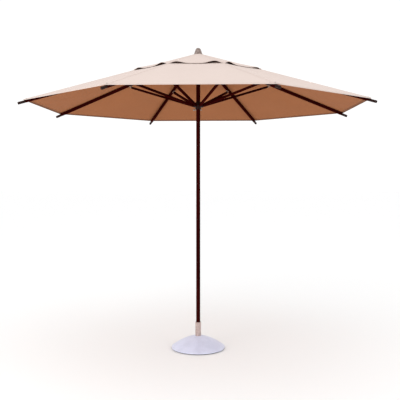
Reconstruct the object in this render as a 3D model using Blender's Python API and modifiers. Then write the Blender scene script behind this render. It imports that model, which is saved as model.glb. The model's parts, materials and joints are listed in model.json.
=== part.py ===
"""Market umbrella: eight wooden ribs and struts, a round pole with a sliding runner, a vented
canopy and a cast base. Metres, +Z up, origin at the middle of the base's underside."""

import math

import bmesh
import bpy
from mathutils import Matrix, Vector

OBJECT_NAME = "patio_umbrella"

# Canopy frame
RIB_COUNT = 8
FIRST_RIB = math.radians(22.5)      # azimuth of rib_1 from +X
HALF_PANEL = math.pi / RIB_COUNT    # angle from a rib to the middle of a panel
PITCH = math.radians(17.5)          # slope of the open ribs below the horizontal
HINGE_RADIUS = 0.036                # rib and strut pivots, from the pole's axis
HINGE_HEIGHT = 2.558                # rib pivots at the crown
CRANK = 0.6867                      # crown pivot to bracket pivot, and the strut's own length
RIB_WIDTH = 0.020
RIB_HEIGHT = 0.026
RIB_OFFSET = 0.026                  # rib centreline above its line of pivots
RIB_START = 0.014                   # full section begins this far from the crown pivot
RIB_END_RADIUS = 1.483              # where the wooden section stops
TIP_RADIUS = 1.545                  # outermost point of the rib end caps
CAP_WIDTH = 0.018
CAP_STEP = 0.005
STRUT_WIDTH = 0.018
STRUT_HEIGHT = 0.020
STRUT_NECK = 0.020                  # tongue length at both strut ends
TONGUE = 0.010                      # thickness of the pivoted tongues
TONGUE_RADIUS = 0.0085
SLOT = 0.011
EYE = 0.0027                        # radius of the pivot holes
WIRE = 0.002                        # radius of the ring wires
WIRE_CHANNEL = 0.0025
RUNNER_HEIGHT = HINGE_HEIGHT - 2 * CRANK * math.sin(PITCH)

# Hub and runner castings
FLANGE_RADIUS = 0.045
CORE_RADIUS = 0.0265
HUB_TOP = 0.0395
HUB_BOTTOM = -0.030
COLLAR_RADIUS = 0.0245
RUNNER_TOP = 0.037
RUNNER_BOTTOM = -0.0285
RUNNER_BORE = 0.019

# Canopy cloth
CORNER_RADIUS = 1.500               # cloth corners, on the ribs
VENT_OPENING = 0.430                # corner radius of the opening under the vent cap
VENT_RADIUS = 0.592                 # corner radius of the vent cap
APEX_RING = 0.040                   # the cap is flat inside this radius
APEX_HOLE = 0.0205
CLOTH = 0.002
CLOTH_GAP = 0.0024                  # cloth above the ribs
CAP_LIFT = 0.003                    # vent cap above the main cloth at its hem
HEM_DROP = 0.006
PANEL_GAP = 0.0004                  # half of the gap in the middle of a panel

# Pole and finial
POLE_RADIUS = 0.018
POLE_TOP = 2.615
FINIAL_TOP = 2.662
FINIAL_RADIUS = 0.0375

# Lock pin
PIN_HEIGHT = 2.112
PIN_RADIUS = 0.004
PIN_LEFT = -0.044
PIN_RIGHT = 0.033
PIN_HEAD = 0.010

# Base
BASE_RADIUS = 0.235
SHELL = 0.004
SLEEVE_RADIUS = 0.025
SLEEVE_BORE = 0.0195
SLEEVE_TOP = 0.230
FLOOR = 0.010                       # thickness of ballast under the sleeve
KNOB_HEIGHT = 0.185
KNOB_RADIUS = 0.021
STUD_RADIUS = 0.004

GAP = 0.0003

MATERIALS = {
    "mahogany": ((0.035, 0.006, 0.005, 1), 0.35, 0.0),
    "black_plastic": ((0.012, 0.010, 0.010, 1), 0.5, 0.0),
    "steel": ((0.30, 0.28, 0.26, 1), 0.35, 1.0),
    "cloth": ((0.86, 0.76, 0.70, 1), 0.9, 0.0),
    "finial_resin": ((0.30, 0.24, 0.20, 1), 0.55, 0.0),
    "stone_resin": ((0.52, 0.42, 0.39, 1), 0.6, 0.0),
    "base_resin": ((0.58, 0.56, 0.66, 1), 0.5, 0.0),
    "concrete": ((0.30, 0.29, 0.28, 1), 0.95, 0.0),
}


def clear_scene():
    for obj in list(bpy.data.objects):
        bpy.data.objects.remove(obj, do_unlink=True)


def new_collection(name):
    collection = bpy.data.collections.new(name)
    bpy.context.scene.collection.children.link(collection)
    return collection


def material(name):
    """The named Principled material, made at its first use."""
    found = bpy.data.materials.get(name)
    if found:
        return found
    colour, roughness, metallic = MATERIALS[name]
    made = bpy.data.materials.new(name)
    made.use_nodes = True
    made.diffuse_color = colour
    shader = made.node_tree.nodes["Principled BSDF"]
    shader.inputs["Base Color"].default_value = colour
    shader.inputs["Roughness"].default_value = roughness
    shader.inputs["Metallic"].default_value = metallic
    return made


def new_object(name, mesh, collection):
    obj = bpy.data.objects.new(name, mesh)
    collection.objects.link(obj)
    return obj


def as_tool(obj):
    """Keeps a cutter or a joined shape out of the model's own parts."""
    obj.hide_render = True
    obj.display_type = "WIRE"
    return obj


def box(name, low, high, collection):
    """An upright box between two corners."""
    mesh = bpy.data.meshes.new(name)
    shape = bmesh.new()
    bmesh.ops.create_cube(shape, size=1.0)
    low, high = Vector(low), Vector(high)
    size = high - low
    bmesh.ops.scale(shape, vec=size, verts=shape.verts)
    bmesh.ops.translate(shape, vec=(low + high) / 2, verts=shape.verts)
    shape.to_mesh(mesh)
    shape.free()
    return new_object(name, mesh, collection)


def rod(name, radius, start, end, sides, collection):
    """A straight round bar between two points."""
    start, end = Vector(start), Vector(end)
    mesh = bpy.data.meshes.new(name)
    shape = bmesh.new()
    bmesh.ops.create_cone(
        shape, cap_ends=True, segments=sides, radius1=radius, radius2=radius, depth=(end - start).length
    )
    turn = Vector((0, 0, 1)).rotation_difference(end - start).to_matrix().to_4x4()
    shape.transform(Matrix.Translation((start + end) / 2) @ turn)
    shape.to_mesh(mesh)
    shape.free()
    return new_object(name, mesh, collection)


def turned(name, profile, sides, collection, closed=False):
    """A profile of (radius, height) turned about Z. It runs down its outer side; a closed one is a ring."""
    mesh = bpy.data.meshes.new(name)
    edges = [(i, i + 1) for i in range(len(profile) - 1)]
    if closed:
        edges.append((len(profile) - 1, 0))
    mesh.from_pydata([(radius, 0, height) for radius, height in profile], edges, [])
    obj = new_object(name, mesh, collection)
    screw = obj.modifiers.new("turn", "SCREW")
    screw.axis = "Z"
    screw.angle = 2 * math.pi
    screw.steps = sides
    screw.render_steps = sides
    screw.use_merge_vertices = True
    screw.merge_threshold = 0.00002
    return obj


def evaluated_mesh(obj):
    """The object's mesh with its modifiers, welded. The object itself is removed."""
    graph = bpy.context.evaluated_depsgraph_get()
    graph.update()
    mesh = bpy.data.meshes.new_from_object(obj.evaluated_get(graph))
    matrix = obj.matrix_world.copy()
    bpy.data.objects.remove(obj, do_unlink=True)
    shape = bmesh.new()
    shape.from_mesh(mesh)
    bmesh.ops.remove_doubles(shape, verts=shape.verts, dist=0.00001)
    shape.transform(matrix)
    shape.to_mesh(mesh)
    shape.free()
    return mesh


def plate(name, outline, thickness, collection):
    """A flat outline of (x, z) points with its thickness centred on the XZ plane."""
    curve = bpy.data.curves.new(name, "CURVE")
    curve.dimensions = "2D"
    curve.fill_mode = "BOTH"
    curve.extrude = thickness / 2
    line = curve.splines.new("POLY")
    line.points.add(len(outline) - 1)
    for point, (x, z) in zip(line.points, outline):
        point.co = (x, z, 0, 1)
    line.use_cyclic_u = True
    flat = new_object(name, curve, collection)
    flat.rotation_euler = (math.pi / 2, 0, 0)
    bpy.context.view_layer.update()
    return new_object(name, evaluated_mesh(flat), collection)


def wire_ring(name, apothem, radius, collection):
    """A wire bent to a regular ring whose straight sides lie across the ribs."""
    curve = bpy.data.curves.new(name, "CURVE")
    curve.dimensions = "3D"
    curve.bevel_depth = radius
    curve.bevel_resolution = 2
    curve.use_fill_caps = True
    line = curve.splines.new("POLY")
    line.points.add(RIB_COUNT - 1)
    corner = apothem / math.cos(HALF_PANEL)
    for k, point in enumerate(line.points):
        angle = FIRST_RIB + (2 * k + 1) * HALF_PANEL
        point.co = (corner * math.cos(angle), corner * math.sin(angle), 0, 1)
    line.use_cyclic_u = True
    flat = new_object(name, curve, collection)
    bpy.context.view_layer.update()
    return new_object(name, evaluated_mesh(flat), collection)


def combine(obj, operation, tools):
    """Cuts the tools from an object, or joins them to it, one after another."""
    for tool in tools:
        change = obj.modifiers.new(operation.lower(), "BOOLEAN")
        change.operation = operation
        change.solver = "EXACT"
        change.object = as_tool(tool)
    return obj


def finished(obj, name, material_name, parts, smooth=40):
    """The evaluated shape as one named part, shaded smooth below the given edge angle."""
    tools = [change.object for change in obj.modifiers if change.type == "BOOLEAN"]
    mesh = evaluated_mesh(obj)
    for tool in tools:
        bpy.data.objects.remove(tool, do_unlink=True)
    mesh.name = name
    mesh.materials.clear()
    mesh.materials.append(material(material_name))
    mesh.shade_smooth()
    mesh.set_sharp_from_angle(angle=math.radians(smooth))
    return new_object(name, mesh, parts)


def chamfer(obj, width):
    """Small chamfers on the edges of a plain shape."""
    bevel = obj.modifiers.new("chamfer", "BEVEL")
    bevel.width = width
    bevel.segments = 1
    bevel.limit_method = "ANGLE"
    bevel.angle_limit = math.radians(40)
    return obj


def arc(centre, radius, first, last, steps):
    """Points on an arc, from the first angle to the last in degrees."""
    points = []
    for k in range(steps + 1):
        angle = math.radians(first + (last - first) * k / steps)
        points.append((centre[0] + radius * math.cos(angle), centre[1] + radius * math.sin(angle)))
    return points


def rib_azimuth(k):
    return FIRST_RIB + 2 * HALF_PANEL * k


def along_rib(radius):
    """Distance from the crown pivot, along the rib, to where its centreline has this radius."""
    return (radius - HINGE_RADIUS - RIB_OFFSET * math.sin(PITCH)) / math.cos(PITCH)


def rib_top(radius):
    """Height of the top face of an open rib at a radius."""
    centre = HINGE_HEIGHT + RIB_OFFSET / math.cos(PITCH) - (radius - HINGE_RADIUS) * math.tan(PITCH)
    return centre + RIB_HEIGHT / 2 / math.cos(PITCH)


def copies(mesh_owner, name, parts, place):
    """Eight objects named NAME_1 to NAME_8 that share one mesh, each put in place."""
    mesh = mesh_owner.data
    bpy.data.objects.remove(mesh_owner, do_unlink=True)
    for k in range(RIB_COUNT):
        place(new_object(f"{name}_{k + 1}", mesh, parts), k)


def at_hinge(obj, k):
    """Frame of a rib: origin on its crown pivot, X down the rib, Y along the pivot."""
    angle = rib_azimuth(k)
    obj.location = (HINGE_RADIUS * math.cos(angle), HINGE_RADIUS * math.sin(angle), HINGE_HEIGHT)
    obj.rotation_euler = (0, PITCH, angle)


def at_hinge_level(obj, k):
    """Like at_hinge, but with X level, which suits the cloth."""
    at_hinge(obj, k)
    obj.rotation_euler = (0, 0, rib_azimuth(k))


def at_bracket(obj, k):
    """Frame of a strut: origin on its upper pivot, X towards the runner."""
    angle = rib_azimuth(k)
    radius = HINGE_RADIUS + CRANK * math.cos(PITCH)
    obj.location = (
        radius * math.cos(angle), radius * math.sin(angle), HINGE_HEIGHT - CRANK * math.sin(PITCH)
    )
    obj.rotation_euler = (0, math.pi - PITCH, angle)


def make_ribs(parts, tools):
    """Rectangular wooden ribs with a thin tongue that drops to the crown pivot."""
    low, high = RIB_OFFSET - RIB_HEIGHT / 2, RIB_OFFSET + RIB_HEIGHT / 2
    end = along_rib(RIB_END_RADIUS)
    bar = box("rib_bar", (RIB_START, -RIB_WIDTH / 2, low), (end, RIB_WIDTH / 2, high), tools)
    chamfer(bar, 0.0016)
    outline = arc((0, 0), TONGUE_RADIUS, 290, 135, 8)
    outline += [(RIB_START, high - 0.007), (RIB_START + 0.010, high - 0.007)]
    outline += [(RIB_START + 0.010, low + 0.002)]
    tongue = plate("rib_tongue", outline, TONGUE, tools)
    eye = rod("rib_eye", EYE, (0, -TONGUE, 0), (0, TONGUE, 0), 12, tools)
    combine(bar, "UNION", [tongue])
    combine(bar, "DIFFERENCE", [eye])
    copies(finished(bar, "rib", "mahogany", parts), "rib", parts, at_hinge)


def make_end_caps(parts, tools):
    """Blunt plastic ends, stepped down to clear the hem, that carry the ribs on past the corners."""
    half = RIB_HEIGHT / 2
    cap = box(
        "end_cap",
        (along_rib(RIB_END_RADIUS) + GAP, -CAP_WIDTH / 2, RIB_OFFSET - half),
        (along_rib(TIP_RADIUS), CAP_WIDTH / 2, RIB_OFFSET + half - CAP_STEP),
        tools,
    )
    chamfer(cap, 0.003)
    copies(finished(cap, "cap", "black_plastic", parts), "rib_end_cap", parts, at_hinge)


def make_brackets(parts, tools):
    """Clevis under each rib: a plate, two cheeks and the cross pin that the strut turns on."""
    face = RIB_OFFSET - RIB_HEIGHT / 2 - GAP
    inner, outer = SLOT / 2, 0.0085
    top = face - 0.0025
    base = box("bracket_plate", (CRANK - 0.015, -outer, top), (CRANK + 0.015, outer, face), tools)
    outline = [(CRANK - 0.008, top + 0.001)] + arc((CRANK, 0), 0.008, 180, 360, 8)
    outline += [(CRANK + 0.008, top + 0.001)]
    joined = []
    for side in (-1, 1):
        cheek = plate("bracket_cheek", outline, outer - inner, tools)
        cheek.location.y = side * (inner + outer) / 2
        joined.append(cheek)
    reach = outer - 0.0005
    joined.append(rod("bracket_pin", EYE - 0.0005, (CRANK, -reach, 0), (CRANK, reach, 0), 12, tools))
    bpy.context.view_layer.update()
    combine(base, "UNION", joined)
    copies(finished(base, "bracket", "steel", parts), "rib_bracket", parts, at_hinge)


def make_struts(parts, tools):
    """Wooden struts with a pivoted tongue at both ends."""
    half = STRUT_HEIGHT / 2
    near = (STRUT_NECK, -STRUT_WIDTH / 2, -half)
    far = (CRANK - STRUT_NECK, STRUT_WIDTH / 2, half)
    bar = box("strut_bar", near, far, tools)
    chamfer(bar, 0.0014)
    joined, cuts = [], []
    for start, turn in ((0, 0), (CRANK, 180)):
        outline = arc((start, 0), TONGUE_RADIUS, 80 + turn, 280 + turn, 10)
        inward = 1 if start == 0 else -1
        inside = start + inward * (STRUT_NECK + 0.006)
        edge = TONGUE_RADIUS - 0.0006
        outline += [(inside, -inward * edge), (inside, inward * edge)]
        joined.append(plate("strut_tongue", outline, TONGUE, tools))
        cuts.append(rod("strut_eye", EYE, (start, -TONGUE, 0), (start, TONGUE, 0), 12, tools))
    combine(bar, "UNION", joined)
    combine(bar, "DIFFERENCE", cuts)
    copies(finished(bar, "strut", "mahogany", parts), "strut", parts, at_bracket)


def slot_cutter(name, low, high, tools):
    """Eight radial slots for the tongues, as one cutter of separate boxes."""
    mesh = bpy.data.meshes.new(name)
    shape = bmesh.new()
    for k in range(RIB_COUNT):
        made = bmesh.ops.create_cube(shape, size=1.0)["verts"]
        length = 0.060 - CORE_RADIUS
        place = Matrix.Rotation(rib_azimuth(k), 4, "Z")
        place @= Matrix.Translation((CORE_RADIUS + length / 2, 0, (low + high) / 2))
        place @= Matrix.Diagonal((length, SLOT, high - low, 1))
        bmesh.ops.transform(shape, matrix=place, verts=made)
    shape.to_mesh(mesh)
    shape.free()
    return new_object(name, mesh, tools)


def make_slotted_casting(name, profile, low, high, height, parts, tools):
    """A turned ring with tongue slots and the channel of its wire ring."""
    ring = turned(name + "_turned", profile, 32, tools, closed=True)
    slots = slot_cutter(name + "_slots", low, high, tools)
    channel = wire_ring(name + "_channel", HINGE_RADIUS, WIRE_CHANNEL, tools)
    combine(ring, "DIFFERENCE", [slots, channel])
    made = finished(ring, name, "black_plastic", parts, smooth=30)
    made.location.z = height


def make_crown(parts, tools):
    """Crown hub fixed to the pole's top, and the wire that all ribs turn on."""
    bore = POLE_RADIUS + 0.0004
    profile = [
        (bore, HUB_TOP), (0.0225, HUB_TOP), (0.0240, HUB_TOP - 0.003), (0.0250, 0.010),
        (FLANGE_RADIUS - 0.001, 0.010), (FLANGE_RADIUS, 0.009), (FLANGE_RADIUS, -0.011),
        (FLANGE_RADIUS - 0.001, -0.012), (COLLAR_RADIUS, -0.012), (COLLAR_RADIUS, HUB_BOTTOM + 0.001),
        (COLLAR_RADIUS - 0.001, HUB_BOTTOM), (bore, HUB_BOTTOM),
    ]
    make_slotted_casting("crown_hub", profile, -0.014, 0.012, HINGE_HEIGHT, parts, tools)
    ring = finished(wire_ring("ring", HINGE_RADIUS, WIRE, tools), "crown_ring", "steel", parts)
    ring.location.z = HINGE_HEIGHT


def make_runner(parts, tools):
    """Runner that slides on the pole, and the wire that all struts turn on."""
    profile = [
        (RUNNER_BORE, RUNNER_TOP), (0.0222, RUNNER_TOP), (0.0235, RUNNER_TOP - 0.002), (0.0235, 0.010),
        (FLANGE_RADIUS - 0.001, 0.010), (FLANGE_RADIUS, 0.009), (FLANGE_RADIUS, -0.009),
        (FLANGE_RADIUS - 0.001, -0.010), (COLLAR_RADIUS, -0.010), (COLLAR_RADIUS, RUNNER_BOTTOM + 0.001),
        (COLLAR_RADIUS - 0.001, RUNNER_BOTTOM), (RUNNER_BORE, RUNNER_BOTTOM),
    ]
    make_slotted_casting("runner", profile, -0.012, 0.012, RUNNER_HEIGHT, parts, tools)
    ring = finished(wire_ring("ring", HINGE_RADIUS, WIRE, tools), "runner_ring", "steel", parts)
    ring.location.z = RUNNER_HEIGHT


def cloth_gore(name, rows, parts):
    """Cloth from one panel's middle, over a rib, to the next panel's middle.

    Each row is (corner radius, height). A row runs level and parallel to the hem on both sides of
    the rib, so every panel is flat and the rib is its ridge."""
    columns = (-1, 0, 1)
    mesh = bpy.data.meshes.new(name)
    shape = bmesh.new()
    bmesh.ops.create_grid(shape, x_segments=len(columns) - 1, y_segments=len(rows) - 1, size=1)
    for vert in shape.verts:
        column = round(vert.co.x)
        radius, height = rows[round((vert.co.y + 1) / 2 * (len(rows) - 1))]
        reach = abs(column) * (radius * math.sin(HALF_PANEL) - PANEL_GAP)
        vert.co = (
            radius - reach * math.sin(HALF_PANEL) - HINGE_RADIUS,
            column * reach * math.cos(HALF_PANEL),
            height - HINGE_HEIGHT,
        )
    bmesh.ops.recalc_face_normals(shape, faces=shape.faces)
    if sum(face.normal.z for face in shape.faces) < 0:
        bmesh.ops.reverse_faces(shape, faces=shape.faces)
    shape.to_mesh(mesh)
    shape.free()
    sheet = new_object(name + "_sheet", mesh, parts)
    wall = sheet.modifiers.new("thickness", "SOLIDIFY")
    wall.thickness = CLOTH
    wall.offset = -1
    wall.use_even_offset = True
    copies(finished(sheet, name, "cloth", parts, smooth=5), name, parts, at_hinge_level)


def make_canopy(parts):
    """Main cloth with a turned-down hem, and the vent cap over its opening."""
    lift = CLOTH_GAP + CLOTH

    def main_height(radius):
        return rib_top(radius) + lift

    hem = main_height(CORNER_RADIUS)
    cloth_gore(
        "canopy_gore",
        [(CORNER_RADIUS, hem - HEM_DROP), (CORNER_RADIUS, hem), (VENT_OPENING, main_height(VENT_OPENING))],
        parts,
    )
    cap_hem = main_height(VENT_RADIUS) + CAP_LIFT + CLOTH
    cap_top = main_height(APEX_RING)
    cloth_gore("vent_gore", [(VENT_RADIUS, cap_hem), (APEX_RING, cap_top), (APEX_HOLE, cap_top)], parts)


def make_pole(parts, tools):
    """Round pole from the base's socket to the finial, drilled for the lock pin."""
    pole = rod("pole_bar", POLE_RADIUS, (0, 0, FLOOR + GAP), (0, 0, POLE_TOP), 32, tools)
    chamfer(pole, 0.0015)
    drill = rod("pole_drill", PIN_RADIUS + 0.0005, (-0.03, 0, PIN_HEIGHT), (0.03, 0, PIN_HEIGHT), 16, tools)
    combine(pole, "DIFFERENCE", [drill])
    finished(pole, "pole", "mahogany", parts)


def make_finial(parts, tools):
    """Bell-shaped cap that sits over the pole's end and clamps the vent cap."""
    bottom = rib_top(APEX_RING) + CLOTH_GAP + CLOTH + GAP
    height = FINIAL_TOP - bottom
    socket = POLE_TOP + 0.0006
    bell = [
        (0.0, 1.0), (0.0080, 0.985), (0.0135, 0.95), (0.0185, 0.88), (0.0225, 0.78), (0.0255, 0.66),
        (0.0280, 0.54), (0.0302, 0.42), (0.0325, 0.30), (0.0350, 0.18), (0.0368, 0.10),
        (FINIAL_RADIUS, 0.05), (0.0365, 0.0),
    ]
    profile = [(radius, bottom + height * share) for radius, share in bell]
    profile += [(POLE_RADIUS + 0.0004, bottom), (POLE_RADIUS + 0.0004, socket), (0.0, socket)]
    finial = turned("finial_turned", profile, 32, tools)
    finished(finial, "finial", "finial_resin", parts)


def make_lock_pin(parts, tools):
    """Pull-out pin through the pole that the runner rests on. Its origin is on its own line."""
    neck = PIN_LEFT + PIN_HEAD
    profile = [
        (0.0, PIN_RIGHT), (PIN_RADIUS - 0.001, PIN_RIGHT), (PIN_RADIUS, PIN_RIGHT - 0.0015),
        (PIN_RADIUS, neck), (0.0065, neck), (0.0075, neck - 0.001), (0.0075, PIN_LEFT + 0.0015),
        (0.0060, PIN_LEFT), (0.0, PIN_LEFT),
    ]
    pin = turned("pin_turned", profile, 16, tools)
    made = finished(pin, "lock_pin", "steel", parts)
    made.rotation_euler = (0, math.pi / 2, 0)
    made.location = (0, 0, PIN_HEIGHT)


def dome_profile():
    """Outer outline of the base, from the sleeve down to its rounded rim."""
    return [
        (SLEEVE_RADIUS + 0.0006, 0.1115), (0.051, 0.1060), (0.088, 0.0948), (0.138, 0.0741),
        (0.188, 0.0470), (0.222, 0.0245), (BASE_RADIUS, 0.0110), (0.2290, 0.0030),
    ]


def inset(profile, distance):
    """The profile moved inwards by a distance along its own normals."""
    moved = []
    for i, (radius, height) in enumerate(profile):
        before = profile[max(i - 1, 0)]
        after = profile[min(i + 1, len(profile) - 1)]
        along = Vector((after[0] - before[0], after[1] - before[1])).normalized()
        moved.append((radius + along.y * distance, height - along.x * distance))
    return moved


def make_base(parts, tools):
    """Cast dome shell, the ballast that fills it, and the sleeve that holds the pole."""
    outer = dome_profile()
    inner = inset(outer, SHELL)
    inner[0] = (outer[0][0], outer[0][1] - SHELL)
    inner[-1] = (outer[-1][0] - SHELL, outer[-1][1])
    shell = turned("shell_turned", outer + inner[::-1], 40, tools, closed=True)
    finished(shell, "base_shell", "base_resin", parts)

    fill = inset(outer, SHELL + 0.0012)
    bore = SLEEVE_RADIUS + GAP
    top = outer[0][1] - SHELL - 0.0012
    solid = [(0.0, FLOOR), (bore, FLOOR), (bore, top)]
    solid += fill[1:-2] + [(0.2265, 0.0090), (0.2235, 0.0), (0.0, 0.0)]
    ballast = turned("ballast_turned", solid, 40, tools)
    finished(ballast, "base_ballast", "concrete", parts)

    sleeve_profile = [
        (SLEEVE_BORE, SLEEVE_TOP), (SLEEVE_RADIUS - 0.003, SLEEVE_TOP), (SLEEVE_RADIUS, SLEEVE_TOP - 0.004),
        (SLEEVE_RADIUS, FLOOR + GAP), (SLEEVE_BORE, FLOOR + GAP),
    ]
    sleeve = turned("sleeve_turned", sleeve_profile, 32, tools, closed=True)
    clear = STUD_RADIUS + 0.0005
    hole = rod("sleeve_hole", clear, (0, 0.012, KNOB_HEIGHT), (0, 0.032, KNOB_HEIGHT), 16, tools)
    combine(sleeve, "DIFFERENCE", [hole])
    finished(sleeve, "base_sleeve", "stone_resin", parts)

    lip = SLEEVE_TOP + GAP
    bush_profile = [
        (POLE_RADIUS + 0.0004, lip + 0.0022), (0.0210, lip + 0.0022), (0.0220, lip + 0.0012), (0.0220, lip),
        (SLEEVE_BORE - 0.0004, lip), (SLEEVE_BORE - 0.0004, lip - 0.022),
        (POLE_RADIUS + 0.0004, lip - 0.022),
    ]
    bush = turned("bush_turned", bush_profile, 32, tools, closed=True)
    finished(bush, "sleeve_bush", "black_plastic", parts)


def make_knob(parts, tools):
    """Lobed clamp knob at the back of the sleeve. Its origin is on its screw's axis."""
    lobes, swing = 6, 0.0022
    outline = []
    for k in range(lobes * 6):
        angle = 2 * math.pi * k / (lobes * 6)
        radius = KNOB_RADIUS - swing + swing * math.cos(lobes * angle)
        outline.append((radius * math.cos(angle), radius * math.sin(angle)))
    near = SLEEVE_RADIUS + 0.006
    head = plate("knob_head", outline, 0.014, tools)
    head.location.y = near + 0.007
    bpy.context.view_layer.update()
    boss = rod("knob_boss", 0.010, (0, SLEEVE_RADIUS + 0.001, 0), (0, near + 0.004, 0), 20, tools)
    stud = rod("knob_stud", STUD_RADIUS, (0, POLE_RADIUS + 0.0006, 0), (0, near + 0.002, 0), 16, tools)
    combine(head, "UNION", [boss, stud])
    made = finished(head, "clamp_knob", "black_plastic", parts)
    made.location.z = KNOB_HEIGHT


def main():
    clear_scene()
    parts = new_collection(OBJECT_NAME)
    tools = new_collection("cutters")
    make_base(parts, tools)
    make_knob(parts, tools)
    make_pole(parts, tools)
    make_crown(parts, tools)
    make_finial(parts, tools)
    make_ribs(parts, tools)
    make_end_caps(parts, tools)
    make_brackets(parts, tools)
    make_struts(parts, tools)
    make_runner(parts, tools)
    make_lock_pin(parts, tools)
    make_canopy(parts)


main()
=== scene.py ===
"""Finish for a market umbrella: sewn canopy, stained wood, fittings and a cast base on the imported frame."""

import json
import math

import bmesh
import bpy
import numpy as np
from bpy.props import FloatProperty, FloatVectorProperty, IntProperty, PointerProperty
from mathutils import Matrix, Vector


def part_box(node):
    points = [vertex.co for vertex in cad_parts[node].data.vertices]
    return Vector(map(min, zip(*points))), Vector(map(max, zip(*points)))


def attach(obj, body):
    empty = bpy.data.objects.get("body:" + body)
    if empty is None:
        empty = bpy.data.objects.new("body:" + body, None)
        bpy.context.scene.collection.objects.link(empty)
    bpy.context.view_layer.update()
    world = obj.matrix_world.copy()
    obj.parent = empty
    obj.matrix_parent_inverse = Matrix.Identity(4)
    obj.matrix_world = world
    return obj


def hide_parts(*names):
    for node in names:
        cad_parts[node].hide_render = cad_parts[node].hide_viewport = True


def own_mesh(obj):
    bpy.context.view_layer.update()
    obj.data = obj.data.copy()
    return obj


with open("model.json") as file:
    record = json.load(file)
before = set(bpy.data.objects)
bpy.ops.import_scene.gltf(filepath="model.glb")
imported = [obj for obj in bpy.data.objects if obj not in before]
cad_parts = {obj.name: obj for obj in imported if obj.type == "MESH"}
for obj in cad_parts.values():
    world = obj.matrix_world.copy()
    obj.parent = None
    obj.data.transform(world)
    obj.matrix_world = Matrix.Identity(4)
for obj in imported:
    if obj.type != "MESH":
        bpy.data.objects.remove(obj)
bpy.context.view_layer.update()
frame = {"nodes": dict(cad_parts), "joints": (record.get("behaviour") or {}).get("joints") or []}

bl_info = {
    "name": "Market umbrella",
    "version": (1, 0, 0),
    "blender": (4, 5, 0),
    "location": "View3D > Sidebar > Umbrella",
    "description": "Builds the canopy, wood, fittings and base of a market umbrella around its frame",
    "category": "Object",
}

# ---------------------------------------------------------------- sizes read from the frame
def corners(node):
    """The lowest and the highest corner of a CAD node's box."""
    low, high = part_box(node)
    return np.array(low), np.array(high)


RIBS = range(1, 9)
HALF = math.pi / 8
SIN, COS = math.sin(HALF), math.cos(HALF)
JOINTS = {joint["name"]: joint for joint in frame["joints"]}
HINGE = np.array(JOINTS["canopy_fold"]["pos_m"])
BRACKET = np.array(JOINTS["strut_1_hinge"]["pos_m"])
CRANK = float(np.linalg.norm(BRACKET - HINGE))
PITCH = math.asin((HINGE[2] - BRACKET[2]) / CRANK)
GORE_LOW, GORE_HIGH = corners("canopy_gore_1")
CORNER_RADIUS = float(GORE_HIGH[0]) / COS
VENT_RADIUS = float(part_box("vent_gore_1")[1][0]) / COS
HEM_LOW = float(GORE_LOW[2])
POLE_LOW, POLE_HIGH = corners("pole")
FINIAL_LOW, FINIAL_HIGH = corners("finial")
SHELL_LOW, SHELL_HIGH = corners("base_shell")
SLEEVE_LOW, SLEEVE_HIGH = corners("base_sleeve")
PIN_LOW, PIN_HIGH = corners("lock_pin")
FAR = 0.2  # a distance to the nearest seam at which the cloth shows no stitches

# The fold targets: where a point one unit out along a half panel's hem would end if the cloth were
# folded, as shares across its rib and up from it. The left half would turn in towards the pole. The right
# half would turn outwards, over the left half of the rib before.
CANOPY_FOLDS = ((1, "left", (0.149, -0.070)), (-1, "right", (-0.148, 0.070)))
VENT_FOLDS = ((1, "left", (0.240, -0.150)), (-1, "right", (-0.240, 0.150)))


# ---------------------------------------------------------------- settings
def length(name, description, default, low=0.0, high=3.0):
    return FloatProperty(
        name=name, description=description, default=default, min=low, max=high, unit="LENGTH", precision=4
    )


def colour(name, description, default):
    return FloatVectorProperty(
        name=name, description=description, default=default, size=3, min=0.0, max=1.0, subtype="COLOR"
    )


class CanopySettings(bpy.types.PropertyGroup):
    hem_drop: length("Hem drop", "Height of the turned-down edge", 0.006)
    hem_fold: length("Hem fold", "Width of the doubled cloth inside the hem", 0.030)
    opening: length("Vent opening", "Corner radius of the opening in the main cloth", 0.430)
    apex_ring: length("Apex ring", "Corner radius of the flat middle of the vent cap", 0.040)
    apex_hole: length("Apex hole", "Corner radius of the hole around the pole", 0.0205)
    thickness: length("Cloth", "Thickness of the cloth", 0.0009)
    sag: length("Sag", "How far the middle of a panel sinks", 0.009)
    arch: length("Vent arch", "Height of the arches in the vent cap's hem", 0.021)
    crease: length("Creases", "Height of the soft creases in the cloth", 0.0012)
    patch: length("Corner patch", "Length of the reinforcement on each corner", 0.085)
    # Outside is the cloth's own colour. Inside and Inner thread are the same cloth and thread painted darker
    # and more orange: painted shade for the underside.
    outside: colour("Outside", "Colour of the sunlit side", (0.74, 0.625, 0.575))
    inside: colour("Inside", "Colour of the shaded side", (0.37, 0.138, 0.054))
    thread: colour("Thread", "Colour of the seams' thread", (0.58, 0.44, 0.37))
    inner_thread_painted_shade: colour("Inner thread", "Colour of the thread on the shaded side", (0.24, 0.10, 0.05))
    columns: IntProperty(name="Columns", description="Cells across a half panel", default=30, min=4, max=80)
    rows: IntProperty(name="Rows", description="Cells from opening to hem", default=44, min=4, max=120)


class WoodSettings(bpy.types.PropertyGroup):
    light: colour("Light grain", "Colour between the grain lines", (0.052, 0.0038, 0.0032))
    dark: colour("Dark grain", "Colour of the grain lines", (0.017, 0.0012, 0.0012))
    edge: length("Edge radius", "Rounding of the ribs' and struts' edges", 0.0012)


class FittingSettings(bpy.types.PropertyGroup):
    plastic: colour("Plastic", "Colour of the moulded fittings", (0.016, 0.006, 0.005))
    steel: colour("Steel", "Colour of the plated fittings", (0.42, 0.40, 0.37))
    finial: colour("Finial", "Colour of the finial", (0.38, 0.31, 0.28))
    # Finial hollows is a painted shade for the shading of the flutes, laid in random cloudy patches rather
    # than in the flutes.
    finial_painted_shade: colour("Finial hollows", "Colour in the finial's flutes", (0.17, 0.12, 0.105))
    flutes: IntProperty(name="Flutes", description="Flutes around the finial", default=10, min=6, max=40)


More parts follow.
